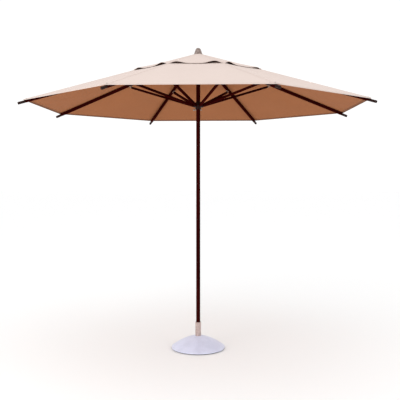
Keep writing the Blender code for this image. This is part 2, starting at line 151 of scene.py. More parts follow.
class BaseSettings(bpy.types.PropertyGroup):
    shell: colour("Base", "Colour of the cast base", (0.67, 0.695, 0.86))
    shell_dark: colour("Base shade", "Colour of the base's cloudy patches", (0.60, 0.62, 0.775))
    sleeve: colour("Sleeve", "Colour of the sleeve", (0.56, 0.44, 0.41))
    sleeve_dark: colour("Sleeve veins", "Colour of the sleeve's darker veins", (0.36, 0.27, 0.25))
    # The foot is painted shade: the dome's faces below this height are dark grey, standing in for the shade
    # under its rim.
    foot: length("Foot", "Height of the dark lip that the base stands on", 0.0065)
    foot_painted_shade: colour("Foot tone", "Colour of the lip", (0.085, 0.085, 0.095))
    ballast: colour("Ballast", "Colour of the cast filling", (0.30, 0.29, 0.28))


class StageSettings(bpy.types.PropertyGroup):
    distance: length("Camera distance", "From the pole's axis to the camera", 5.56, 1.0, 20.0)
    height: length("Camera height", "Height of the level camera", 1.525, 0.0, 5.0)
    turn: FloatProperty(
        name="Camera turn", description="Camera azimuth from the front", default=math.radians(2.1),
        subtype="ANGLE",
    )
    lens: FloatProperty(
        name="Lens", description="Focal length on a 36 mm sensor", default=56.37, unit="CAMERA"
    )


SETTINGS = {
    "umbrella_canopy": CanopySettings,
    "umbrella_wood": WoodSettings,
    "umbrella_fittings": FittingSettings,
    "umbrella_base": BaseSettings,
    "umbrella_stage": StageSettings,
}


LIGHTS = (
    ("key", (-3.2, -4.6, 5.4), 3.0, 70.0, (1.0, 0.99, 0.98)),
    ("fill", (4.6, -3.4, 3.2), 3.5, 35.0, (0.97, 0.985, 1.0)),
    ("low", (-2.8, -3.0, 0.25), 2.2, 48.0, (1.0, 0.94, 0.88)),
)
LIGHTS_AIM = (0.0, 0.0, 1.9)


# ---------------------------------------------------------------- meshes
def sharp_by_angle(mesh, degrees):
    """Shades the mesh smooth apart from edges that turn by more than the angle."""
    mesh.shade_smooth()
    mesh.set_sharp_from_angle(angle=math.radians(degrees))


def finished_mesh(name, mesh, material, body, degrees=180):
    """Links a mesh as a piece at the origin that rides on a body and takes a material slot's finish.

    It is shaded smooth apart from edges that turn by more than the degrees."""
    mesh.materials.clear()
    for item in material if isinstance(material, list) else [material]:
        mesh.materials.append(item)
    sharp_by_angle(mesh, degrees)
    piece = bpy.data.objects.new(name, mesh)
    bpy.context.scene.collection.objects.link(piece)
    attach(piece, body)
    return piece


def grid_faces(rows, columns, wrap_columns=False):
    """Quads of a grid of points, row by row, closed on itself where it wraps."""
    r = np.arange(rows - 1)[:, None]
    c = np.arange(columns if wrap_columns else columns - 1)[None, :]
    below, right = r + 1, (c + 1) % columns
    quads = np.stack(
        [r * columns + c, r * columns + right, below * columns + right, below * columns + c], axis=-1
    )
    return quads.reshape(-1, 4)


def points_of(mesh):
    """The mesh's points as an array of three columns."""
    points = np.zeros(len(mesh.vertices) * 3, np.float32)
    mesh.vertices.foreach_get("co", points)
    return points.reshape(-1, 3)


def add_vectors(mesh, key, values):
    """Stores one vector per point under a key that materials can read."""
    attribute = mesh.attributes.new(key, "FLOAT_VECTOR", "POINT")
    attribute.data.foreach_set("vector", values.astype(np.float32).ravel())


def surface(name, points, faces, uv=None, edges=None):
    """A mesh from an array of points and quads, with an optional UV map and distances to its seams."""
    mesh = bpy.data.meshes.new(name)
    mesh.from_pydata(points.reshape(-1, 3), [], faces)
    if uv is not None:
        corner = np.zeros(len(mesh.loops), np.int32)
        mesh.loops.foreach_get("vertex_index", corner)
        layer = mesh.uv_layers.new(name="Cloth")
        layer.data.foreach_set("uv", uv.reshape(-1, 2)[corner].astype(np.float32).ravel())
    if edges is not None:
        add_vectors(mesh, "edges", edges)
    mesh.update()
    return mesh


def lathe(name, profile, sides, wobble=None):
    """Turned solid: each (radius, height) of the profile is carried round Z, to the points
    (radius cos a, radius sin a, height). Ends on the axis are closed.

    wobble(angle, share) multiplies the radius, where share runs from 0 to 1 down the profile."""
    profile = np.array(profile, float)
    angle = np.arange(sides) * 2 * math.pi / sides
    share = np.linspace(0, 1, len(profile))
    radius = profile[:, 0][:, None] * np.ones(sides)[None, :]
    if wobble:
        radius = radius * wobble(angle[None, :], share[:, None])
    x, y = radius * np.cos(angle), radius * np.sin(angle)
    z = profile[:, 1][:, None] * np.ones(sides)[None, :]
    faces = grid_faces(len(profile), sides, wrap_columns=True)[:, ::-1]
    mesh = surface(name, np.stack([x, y, z], axis=-1), faces)
    shape = bmesh.new()
    shape.from_mesh(mesh)
    bmesh.ops.remove_doubles(shape, verts=shape.verts, dist=1e-6)
    bmesh.ops.recalc_face_normals(shape, faces=shape.faces)
    shape.to_mesh(mesh)
    shape.free()
    return mesh


def rounded(points, radius, steps=4):
    """An open outline whose inner corners are replaced by arcs that touch both sides."""
    points = [np.array(point, float) for point in points]
    out = [points[0]]
    for before, here, after in zip(points, points[1:], points[2:]):
        a, b = before - here, after - here
        cut = min(radius, np.linalg.norm(a) * 0.45, np.linalg.norm(b) * 0.45)
        start, end = here + a / np.linalg.norm(a) * cut, here + b / np.linalg.norm(b) * cut
        t = np.linspace(0, 1, steps + 1)[:, None]
        out.extend((1 - t) ** 2 * start + 2 * t * (1 - t) * here + t**2 * end)
    out.append(points[-1])
    return [tuple(point) for point in out]


def refined(node, material, body, edge, coordinates=None):
    """A merged copy of a CAD node with softened edges, which stands for the node.

    coordinates(points) gives a vector per point for the attribute 'grain'."""
    mesh = frame["nodes"][node].data.copy()
    shape = bmesh.new()
    shape.from_mesh(mesh)
    bmesh.ops.remove_doubles(shape, verts=shape.verts, dist=2e-6)
    bmesh.ops.dissolve_limit(
        shape, angle_limit=math.radians(0.6), verts=shape.verts, edges=shape.edges, delimit=set()
    )
    if edge > 0:
        least = math.radians(35)
        sharp = [e for e in shape.edges if len(e.link_faces) == 2 and e.calc_face_angle(0) > least]
        bmesh.ops.bevel(
            shape, geom=sharp, offset=edge, segments=2, profile=0.6, affect="EDGES", clamp_overlap=True
        )
    shape.to_mesh(mesh)
    shape.free()
    for layer in list(mesh.uv_layers):
        mesh.uv_layers.remove(layer)
    if coordinates is not None:
        add_vectors(mesh, "grain", coordinates(points_of(mesh)))
    piece = finished_mesh(node + "_finished", mesh, material, body, 50)
    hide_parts(node)
    return piece


# ---------------------------------------------------------------- shader groups
def new_group(name, inputs, outputs):
    """A shader node group with named sockets. Gives its tree, input node and output node."""
    tree = bpy.data.node_groups.new(name, "ShaderNodeTree")
    for label, kind, default in inputs:
        socket = tree.interface.new_socket(name=label, in_out="INPUT", socket_type="NodeSocket" + kind)
        if default is not None:
            socket.default_value = default
    for label, kind in outputs:
        tree.interface.new_socket(name=label, in_out="OUTPUT", socket_type="NodeSocket" + kind)
    return tree, tree.nodes.new("NodeGroupInput"), tree.nodes.new("NodeGroupOutput")


def place(tree, kind, links=None, **values):
    """A node with properties set and inputs filled: a socket is linked, anything else is its value."""
    node = tree.nodes.new("ShaderNode" + kind)
    for key, value in values.items():
        setattr(node, key, value)
    for key, value in (links or {}).items():
        if isinstance(value, bpy.types.NodeSocket):
            tree.links.new(value, node.inputs[key])
        else:
            node.inputs[key].default_value = value
    return node


def math_node(tree, operation, *values, clamp=False):
    """The result of one Math node."""
    return place(tree, "Math", dict(enumerate(values)), operation=operation, use_clamp=clamp).outputs[0]


def mix_colour(tree, share, first, second):
    """The first colour at share 0 and the second at share 1."""
    return place(tree, "Mix", {0: share, 6: first, 7: second}, data_type="RGBA").outputs[2]


def smooth_step(tree, value, low, high, first=0.0, last=1.0):
    """A value that goes smoothly from first at low to last at high."""
    links = {"Value": value, "From Min": low, "From Max": high, "To Min": first, "To Max": last}
    return place(tree, "MapRange", links, interpolation_type="SMOOTHSTEP").outputs["Result"]


def scaled(tree, vector, scale):
    return place(tree, "VectorMath", {0: vector, 1: scale}, operation="MULTIPLY").outputs[0]


def noise(tree, vector, scale, detail=3.0, rough=0.5, distortion=0.0):
    links = {"Vector": vector, "Scale": scale, "Detail": detail, "Roughness": rough, "Distortion": distortion}
    return place(tree, "TexNoise", links).outputs["Fac"]


def grain_group():
    """Wood grain: long stretched noise along X, fine pores, and slow changes of tone."""
    tree, given, out = new_group(
        "wood_grain",
        [
            ("Vector", "Vector", None), ("Light", "Color", (0.1, 0.02, 0.02, 1)),
            ("Dark", "Color", (0, 0, 0, 1)),
        ],
        [("Color", "Color"), ("Roughness", "Float"), ("Height", "Float")],
    )
    along = scaled(tree, given.outputs["Vector"], (2.2, 90.0, 90.0))
    pores = scaled(tree, given.outputs["Vector"], (45.0, 1400.0, 1400.0))
    bands = noise(tree, along, 1.0, 5.0, 0.62, 0.5)
    pore = smooth_step(tree, noise(tree, pores, 1.0, 2.0, 0.5), 0.56, 0.72)
    tone = noise(tree, given.outputs["Vector"], 3.0, 2.0)
    share = smooth_step(tree, bands, 0.36, 0.66)
    share = math_node(tree, "MULTIPLY", share, smooth_step(tree, tone, 0.2, 0.8, 0.65, 1.0))
    base = mix_colour(tree, share, given.outputs["Dark"], given.outputs["Light"])
    base = mix_colour(tree, math_node(tree, "MULTIPLY", pore, 0.55), base, given.outputs["Dark"])
    tree.links.new(base, out.inputs["Color"])
    rough = math_node(tree, "MULTIPLY_ADD", pore, 0.18, smooth_step(tree, bands, 0.3, 0.7, 0.50, 0.38))
    tree.links.new(rough, out.inputs["Roughness"])
    height = math_node(tree, "SUBTRACT", math_node(tree, "MULTIPLY", bands, 0.35), pore)
    tree.links.new(height, out.inputs["Height"])
    return tree


def cloth_group():
    """Woven cloth: crossed threads from the UV map in metres, lines of stitches beside the seams, a soft
    darkening towards them and slow changes of tone. The vector Edges holds the distances in metres to the
    rib seam, to the hem, and along them."""
    tree, given, out = new_group(
        "woven_cloth",
        [
            ("UV", "Vector", None), ("Edges", "Vector", None), ("Cloth", "Color", (0.8, 0.7, 0.6, 1)),
            ("Thread", "Color", (0.5, 0.4, 0.3, 1)), ("Tone", "Float", 0.06), ("Fold", "Float", 0.03),
            ("Fold Shade", "Float", 0.05),
        ],
        [("Color", "Color"), ("Roughness", "Float"), ("Height", "Float")],
    )
    uv, edges = given.outputs["UV"], given.outputs["Edges"]
    parts = place(tree, "SeparateXYZ", {0: uv}).outputs
    edge = place(tree, "SeparateXYZ", {0: edges}).outputs
    thread_pitch, stitch_pitch = 0.0011, 0.0042
    warp = math_node(tree, "SINE", math_node(tree, "MULTIPLY", parts[0], 2 * math.pi / thread_pitch))
    weft = math_node(tree, "SINE", math_node(tree, "MULTIPLY", parts[1], 2 * math.pi / thread_pitch))
    weave = math_node(tree, "MULTIPLY_ADD", math_node(tree, "MULTIPLY", warp, weft), 0.5, 0.5)
    slub = noise(tree, scaled(tree, uv, (60.0, 900.0, 1.0)), 1.0, 2.0)
    cloud = noise(tree, uv, 3.2, 4.0, 0.55)
    dash = math_node(tree, "SINE", math_node(tree, "MULTIPLY", edge[2], 2 * math.pi / stitch_pitch))
    dash = smooth_step(tree, dash, -0.25, 0.1)

    def stitch(distance, offset):
        """The thread's mask and the dip that it pulls, for one line at an offset from a seam."""
        gap = math_node(tree, "ABSOLUTE", math_node(tree, "SUBTRACT", distance, offset))
        line = smooth_step(tree, gap, 0.0004, 0.0010, 1.0, 0.0)
        return math_node(tree, "MULTIPLY", line, dash), smooth_step(tree, gap, 0.0, 0.0035, 1.0, 0.0)

    mark, dip = stitch(edge[0], 0.009)
    inner = math_node(tree, "SUBTRACT", given.outputs["Fold"], 0.003)
    for distance, offset in ((edge[0], 0.014), (edge[1], inner), (edge[1], 0.006)):
        more, deeper = stitch(distance, offset)
        mark = math_node(tree, "MAXIMUM", mark, more)
        dip = math_node(tree, "MAXIMUM", dip, deeper)
    # Darker towards the rib seam and the hem, fading out 5 cm away.
    near = math_node(tree, "MINIMUM", edge[0], edge[1])
    near_edge_darkening = smooth_step(tree, near, 0.0, 0.05, 1.0, 0.0)
    beyond = math_node(tree, "SUBTRACT", edge[1], given.outputs["Fold"])
    fold = smooth_step(tree, beyond, -0.001, 0.001, 1.0, 0.0)
    share = math_node(tree, "MULTIPLY", weave, 0.05)
    share = math_node(tree, "MULTIPLY_ADD", cloud, given.outputs["Tone"], share)
    share = math_node(tree, "ADD", share, math_node(tree, "MULTIPLY", near_edge_darkening, 0.05))
    share = math_node(tree, "MULTIPLY_ADD", slub, 0.04, share)
    # Painted shade: within the hem fold the cloth is mixed towards dark brown by Fold Shade, strongly on the
    # inside finish.
    share = math_node(tree, "MULTIPLY_ADD", fold, given.outputs["Fold Shade"], share, clamp=True)
    base = mix_colour(tree, share, given.outputs["Cloth"], (0.10, 0.05, 0.03, 1))
    base = mix_colour(tree, math_node(tree, "MULTIPLY", mark, 0.8), base, given.outputs["Thread"])
    tree.links.new(base, out.inputs["Color"])
    tree.links.new(smooth_step(tree, weave, 0.0, 1.0, 0.92, 0.82), out.inputs["Roughness"])
    height = math_node(tree, "MULTIPLY_ADD", weave, 0.00012, math_node(tree, "MULTIPLY", fold, 0.0004))
    height = math_node(tree, "MULTIPLY_ADD", dip, -0.0006, height)
    height = math_node(tree, "MULTIPLY_ADD", mark, 0.0005, height)
    tree.links.new(height, out.inputs["Height"])
    return tree


def cast_group():
    """Cast or moulded surface: cloudy patches, fine specks and a shallow pitted relief."""
    tree, given, out = new_group(
        "cast_surface",
        [
            ("Vector", "Vector", None), ("Main", "Color", (0.5, 0.5, 0.5, 1)),
            ("Patch", "Color", (0.4, 0.4, 0.4, 1)), ("Scale", "Float", 8.0), ("Specks", "Float", 0.2),
            ("Rough", "Float", 0.5),
        ],
        [("Color", "Color"), ("Roughness", "Float"), ("Height", "Float")],
    )
    vector = given.outputs["Vector"]
    cloud = noise(tree, vector, given.outputs["Scale"], 5.0, 0.6, 0.4)
    fine = noise(tree, vector, 420.0, 2.0, 0.6)
    speck = place(tree, "TexVoronoi", {"Vector": vector, "Scale": 260.0}).outputs["Distance"]
    speck = smooth_step(tree, speck, 0.10, 0.24, 1.0, 0.0)
    patches = smooth_step(tree, cloud, 0.34, 0.68)
    base = mix_colour(tree, patches, given.outputs["Main"], given.outputs["Patch"])
    amount = math_node(tree, "MULTIPLY", speck, given.outputs["Specks"])
    dark = mix_colour(tree, 0.75, given.outputs["Patch"], (0.04, 0.03, 0.03, 1))
    base = mix_colour(tree, amount, base, dark)
    tree.links.new(base, out.inputs["Color"])
    rough = math_node(tree, "SUBTRACT", given.outputs["Rough"], 0.08)
    rough = math_node(tree, "MULTIPLY_ADD", fine, 0.16, rough)
    rough = math_node(tree, "MULTIPLY_ADD", cloud, 0.08, rough)
    tree.links.new(rough, out.inputs["Roughness"])
    height = math_node(tree, "MULTIPLY_ADD", fine, 0.5, math_node(tree, "MULTIPLY", speck, -0.6))
    tree.links.new(height, out.inputs["Height"])
    return tree


def brushed_group():
    """Plated steel: fine drawn lines with small stains."""
    tree, given, out = new_group(
        "brushed_plating",
        [("Vector", "Vector", None), ("Metal", "Color", (0.5, 0.5, 0.5, 1))],
        [("Color", "Color"), ("Roughness", "Float"), ("Height", "Float")],
    )
    lines = noise(tree, scaled(tree, given.outputs["Vector"], (900.0, 900.0, 120.0)), 1.0, 2.0)
    stain = smooth_step(tree, noise(tree, given.outputs["Vector"], 90.0, 4.0, 0.6), 0.52, 0.7)
    amount = math_node(tree, "MULTIPLY", stain, 0.45)
    base = mix_colour(tree, amount, given.outputs["Metal"], (0.12, 0.085, 0.06, 1))
    tree.links.new(base, out.inputs["Color"])
    rough = math_node(tree, "MULTIPLY_ADD", stain, 0.25, smooth_step(tree, lines, 0.2, 0.8, 0.26, 0.42))
    tree.links.new(rough, out.inputs["Roughness"])
    tree.links.new(lines, out.inputs["Height"])
    return tree


GROUPS = {}


def group_tree(key):
    """The node group with this key, made at its first use."""
    makers = {"grain": grain_group, "cloth": cloth_group, "cast": cast_group, "brushed": brushed_group}
    if key not in GROUPS:
        GROUPS[key] = makers[key]()
    return GROUPS[key]


def group_material(name, key, bump, links=None, distance=0.001, **shader_values):
    """A material whose colour, roughness and relief come from one of the groups."""
    material = bpy.data.materials.new(name)
    material.use_nodes = True
    tree = material.node_tree
    shader = tree.nodes["Principled BSDF"]
    group = tree.nodes.new("ShaderNodeGroup")
    group.node_tree = group_tree(key)
    for label, value in (links or {}).items():
        source = value(tree) if callable(value) else value
        if isinstance(source, bpy.types.NodeSocket):
            tree.links.new(source, group.inputs[label])
        else:
            group.inputs[label].default_value = source
    tree.links.new(group.outputs["Color"], shader.inputs["Base Color"])
    tree.links.new(group.outputs["Roughness"], shader.inputs["Roughness"])
    relief = place(tree, "Bump", {"Strength": bump, "Distance": distance, "Height": group.outputs["Height"]})
    tree.links.new(relief.outputs["Normal"], shader.inputs["Normal"])
    for label, value in shader_values.items():
        shader.inputs[label.replace("_", " ")].default_value = value
    return material


def object_place(tree):
    return place(tree, "TexCoord").outputs["Object"]


def uv_place(tree):
    return place(tree, "UVMap", uv_map="Cloth").outputs["UV"]


def attribute_place(name):
    return lambda tree: place(tree, "Attribute", attribute_name=name).outputs["Vector"]


def rgba(values):
    return (*values, 1.0)


def toned(values, factor):
    return tuple(value * factor for value in values)


def cloth_material(name, base, thread, tone, shade):
    """Woven cloth. tone is the strength of its slow changes, shade how much painted shade darkens the doubled
    hem.
    """
    links = {
        "UV": uv_place, "Edges": attribute_place("edges"), "Cloth": rgba(base), "Thread": rgba(thread),
        "Tone": tone, "Fold": bpy.context.scene.umbrella_canopy.hem_fold, "Fold Shade": shade,
    }
    return group_material(name, "cloth", 1.0, links, 1.0, Specular_IOR_Level=0.12)


def cast_material(name, main, patch, scale, specks, rough, bump, **shader_values):
    """Cast or moulded stuff with cloudy patches of a second colour and specks."""
    links = {
        "Vector": object_place, "Main": rgba(main), "Patch": rgba(patch), "Scale": scale, "Specks": specks,
        "Rough": rough,
    }
    return group_material(name, "cast", bump, links, 0.0006, **shader_values)


MATERIALS = {}


def material_of(key):
    """The finish with this key, made at its first use from the scene's settings."""
    scene = bpy.context.scene
    canopy, wood, fittings, base = (
        scene.umbrella_canopy, scene.umbrella_wood, scene.umbrella_fittings, scene.umbrella_base
    )
    makers = {
        "cloth_outside": lambda: cloth_material("cloth_outside", canopy.outside, canopy.thread, 0.07, 0.02),
        # The inside finish is the cloth with painted shade for its underside.
        "cloth_inside_painted_shade": lambda: cloth_material(
            "cloth_inside_painted_shade", canopy.inside, canopy.inner_thread_painted_shade, 0.16, 0.35
        ),
        "mahogany": lambda: group_material(
            "stained_mahogany", "grain", 0.35,
            {"Vector": attribute_place("grain"), "Light": rgba(wood.light), "Dark": rgba(wood.dark)},
            0.0004, Specular_IOR_Level=0.0,
        ),
        "plastic": lambda: cast_material(
            "moulded_plastic", fittings.plastic, toned(fittings.plastic, 1.5), 40.0, 0.1, 0.48, 0.12,
            Specular_IOR_Level=0.1,
        ),
        "steel": lambda: group_material(
            "plated_steel", "brushed", 0.15, {"Vector": object_place, "Metal": rgba(fittings.steel)},
            0.0003, Metallic=1.0,
        ),
        # The finial's second colour is a painted shade in random cloudy patches.
        "finial": lambda: cast_material(
            "finial_resin", fittings.finial, fittings.finial_painted_shade, 55.0, 0.35, 0.5, 0.3
        ),
        "sleeve": lambda: cast_material(
            "stone_look_sleeve", base.sleeve, base.sleeve_dark, 42.0, 0.5, 0.55, 0.35
        ),
        "shell": lambda: cast_material(
            "cast_base", base.shell, base.shell_dark, 9.0, 0.12, 0.42, 0.2,
            Coat_Weight=0.12, Coat_Roughness=0.3,
        ),
        # Painted shade for the bottom of the base dome.
        "foot": lambda: cast_material(
            "foot_painted_shade_band", base.foot_painted_shade, toned(base.foot_painted_shade, 0.6), 30.0, 0.2, 0.6, 0.3
        ),
        "ballast": lambda: cast_material(
            "rough_ballast", base.ballast, toned(base.ballast, 0.7), 30.0, 0.7, 0.95, 1.0
        ),
    }
    if key not in MATERIALS:
        MATERIALS[key] = makers[key]()
    return MATERIALS[key]


# ---------------------------------------------------------------- canopy geometry
def rib_angle(k):
    """Azimuth of rib k."""
    return HALF + (k - 1) * 2 * HALF


def rib_axes(k):
    """Unit vectors of rib k at rest: along it outwards, along its pivot, and up from it."""
    angle = rib_angle(k)
    out = np.array([math.cos(angle), math.sin(angle), 0.0])
    level = np.array([0.0, 0.0, 1.0])
    along = math.cos(PITCH) * out - math.sin(PITCH) * level
    pivot = np.array([-math.sin(angle), math.cos(angle), 0.0])
    up = math.sin(PITCH) * out + math.cos(PITCH) * level
    return along, pivot, up


def ridge_height(radius):
    """Top of the main cloth over an open rib: a straight line from the hem's corner up to the crown."""
    return HEM_LOW + bpy.context.scene.umbrella_canopy.hem_drop + (CORNER_RADIUS - radius) * math.tan(PITCH)


def cap_height(radius):
    """Top of the vent cap over a rib: level inside the apex ring, then straight down to its own hem."""
    canopy = bpy.context.scene.umbrella_canopy
    apex = ridge_height(canopy.apex_ring)
    hem = ridge_height(VENT_RADIUS) + 2.6 * canopy.thickness
    share = np.clip((radius - canopy.apex_ring) / (VENT_RADIUS - canopy.apex_ring), 0, 1)
    return apex + (hem - apex) * share


def creases(panel, across, out, seed):
    """Height of soft creases, from -1 to 1: the mean of a few crossed sine waves whose wave numbers (in
    radians a metre), directions and phases are drawn for each panel."""
    rng = np.random.default_rng(seed + panel)
    waves = 7
    total = np.zeros_like(across)
    for _ in range(waves):
        run, lean, phase = rng.uniform(13.2, 57.2), rng.uniform(-1.1, 1.1), rng.uniform(0, 2 * math.pi)
        total += np.sin(run * (across * math.cos(lean) + out * math.sin(lean)) + phase) / waves
    return total


def cells_across():
    """Shares of the way from a rib to the panel's middle, close together beside the rib.

    The last one is past the middle."""
    beside_seam = [0, 0.010, 0.022]
    wide = np.linspace(0.036, 1.0, bpy.context.scene.umbrella_canopy.columns + 1)
    return np.concatenate([beside_seam, wide, [2.0 - wide[-2]]])


def half_panel(k, side, radii, height, hem, bulge):
    """Points of the cloth from rib k to the middle of the panel on one side, and one column past it.

    Rows are level lines parallel to the hem at the given corner radii. A point lies on its row at a
    share of the way from the rib to the panel's middle, at height(radius) raised by bulge(panel, share
    of the half width from the middle, row radius). hem lists the drops below the last row."""
    share = cells_across()[None, :]
    radius = np.concatenate([radii, np.full(len(hem), radii[-1])])[:, None]
    drops = np.concatenate([np.zeros(len(radii)), hem])[:, None]
    reach = share * radius * SIN
    panel = (k - 1 if side > 0 else k - 2) % 8
    from_middle = side * -1 * (1 - share) * np.ones_like(radius)
    z = height(radius) + bulge(panel, from_middle, radius) - drops
    points = beside_rib(k, radius - reach * SIN, side * reach * COS, z)
    out = radius * COS / math.cos(PITCH) + drops
    across = panel * 0.31 + from_middle * radius * SIN
    uv = np.stack([across, out + 0 * across], axis=-1)
    to_hem = (radii[-1] - radius) * COS / math.cos(PITCH) + (drops[-1] - drops)
    edges = np.stack([reach + 0 * across, to_hem + 0 * across, across + out], axis=-1)
    return points, uv, edges


def beside_rib(k, out, across, up):
    """World points from distances out along rib k's azimuth, across it and up from the floor."""
    c, s = math.cos(rib_angle(k)), math.sin(rib_angle(k))
    return np.stack([out * c - across * s, out * s + across * c, up], axis=-1)


def upward(points):
    """Unit normals of a grid of points, on its upper side, from the slopes along its rows and columns."""
    normal = np.cross(np.gradient(points, axis=0), np.gradient(points, axis=1))
    normal /= np.maximum(np.linalg.norm(normal, axis=-1, keepdims=True), 1e-12)
    middle = normal[normal.shape[0] // 2, normal.shape[1] // 2, 2]
    return normal if middle > 0 else -normal


def doubled(name, points, uv, edges, thickness):
    """A closed sheet: the grid of points, the same grid moved down its normals, and a strip round the rim.

    The last column only steadies the normals at the panel's middle and isn't used."""
    normal = upward(points)[:, :-1]
    top, uv, edges = points[:, :-1], uv[:, :-1], edges[:, :-1]
    rows, columns = top.shape[:2]
    index = np.arange(rows * columns).reshape(rows, columns)
    rim = np.concatenate([index[0, :-1], index[:-1, -1], index[-1, :0:-1], index[:0:-1, 0]])
    after = np.roll(rim, -1)
    count = rows * columns
    quads = grid_faces(rows, columns)
    sides = np.stack([after, rim, rim + count, after + count], axis=-1)
    faces = np.concatenate([quads, quads[:, ::-1] + count, sides])
    both = np.concatenate([top.reshape(-1, 3), (top - thickness * normal).reshape(-1, 3)])
    pair = np.concatenate([uv.reshape(-1, 2)] * 2)
    mesh = surface(name, both, faces, pair, np.concatenate([edges.reshape(-1, 3)] * 2))
    if mesh.polygons[len(quads) // 2].normal.z < 0:
        mesh.flip_normals()
    slots = np.zeros(len(faces), np.int32)
    slots[len(quads):2 * len(quads)] = 1
    return mesh, slots


def sew_half(name, k, side, grid, replaced):
    """Makes one half panel: a sheet with thickness that rides on its rib, in place of the CAD node that it
    replaces."""
    canopy = bpy.context.scene.umbrella_canopy
    points, uv, edges = grid
    mesh, slots = doubled(name, points, uv, edges, canopy.thickness)
    # The lower sheet takes the inside finish: the cloth with painted shade.
    finish = [material_of("cloth_outside"), material_of("cloth_inside_painted_shade")]
    piece = finished_mesh(name, mesh, finish, f"rib_{k}", 55)
    mesh.polygons.foreach_set("material_index", slots)
    start = np.array([side * COS, -SIN * math.sin(PITCH)])
    start /= np.linalg.norm(start)
    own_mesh(piece)
    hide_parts(replaced)


# ---------------------------------------------------------------- operators
class UMBRELLA_OT_canopy(bpy.types.Operator):
    """Sews the main cloth: sixteen half panels with a turned-down hem"""

    bl_idname = "umbrella.canopy"
    bl_label = "Canopy"

    def execute(self, context):
        canopy = context.scene.umbrella_canopy
        radii = np.linspace(canopy.opening, CORNER_RADIUS, canopy.rows + 1)
        hem_turn = 0.0025
        turned = CORNER_RADIUS - hem_turn * (1 - np.sin(np.linspace(0, 1.4, 4)))
        radii = np.concatenate([radii[:-1], turned, [CORNER_RADIUS]])
        hem = canopy.hem_drop * np.array([0.15, 0.35, 0.6, 0.8, 1.0])

        def bulge(panel, middle, radius):
            """-sag sin(pi share)^0.8 (1 - middle^2), and creases that fade at the hem and the ribs."""
            share = (radius - canopy.opening) / (CORNER_RADIUS - canopy.opening)
            belly = np.sin(math.pi * np.clip(share, 0, 1)) ** 0.8
            sink = -canopy.sag * belly * (1 - middle**2)
            soft = creases(panel, middle * radius * SIN, radius, 11)
            fade = np.clip((1 - share) * 9, 0, 1) * np.clip((1 - np.abs(middle)) * 8, 0, 1)
            return sink + canopy.crease * soft * fade

        for k in RIBS:
            for side, tag, target in CANOPY_FOLDS:
                grid = half_panel(k, side, radii, ridge_height, hem, bulge)
                name, replaced = f"canopy_{k}_{tag}", f"canopy_gore_{k}"
                sew_half(name, k, side, grid, replaced)
        return {"FINISHED"}


class UMBRELLA_OT_vent_cap(bpy.types.Operator):
    """Sews the vent cap: sixteen half panels whose hem lifts in two uneven arches a panel"""

    bl_idname = "umbrella.vent_cap"
    bl_label = "Vent cap"

    def execute(self, context):
        canopy = context.scene.umbrella_canopy
        inner = np.linspace(canopy.apex_hole, canopy.apex_ring, 4)[:-1]
        radii = np.concatenate([inner, np.linspace(canopy.apex_ring, VENT_RADIUS, canopy.rows - 8)])
        uneven = np.random.default_rng(5).uniform((0.50, 1.6), (1.0, 2.3), (8, 2, 2))

        def bulge(panel, middle, radius):
            """arch size share^3.2 sin(pi |middle|^lean)^2, with creases that fade at the edges."""
            share = np.clip((radius - canopy.apex_ring) / (VENT_RADIUS - canopy.apex_ring), 0, 1)
            half = (middle > 0).astype(int)
            size, lean = uneven[panel, half, 0], uneven[panel, half, 1]
            wave = np.sin(math.pi * np.clip(np.abs(middle), 0, 1) ** lean) ** 2
            lift = canopy.arch * size * share**3.2 * wave
            ease = np.clip((1 - share) * 6, 0, 1) * share * np.clip((1 - np.abs(middle)) * 8, 0, 1)
            return lift + canopy.crease * 0.8 * creases(panel, middle * radius * SIN, radius, 47) * ease

        hem = np.array([0.0008, 0.0018, 0.0030])
        for k in RIBS:
            for side, tag, target in VENT_FOLDS:
                grid = half_panel(k, side, radii, cap_height, hem, bulge)
                sew_half(f"vent_cap_{k}_{tag}", k, side, grid, f"vent_gore_{k}")
        return {"FINISHED"}


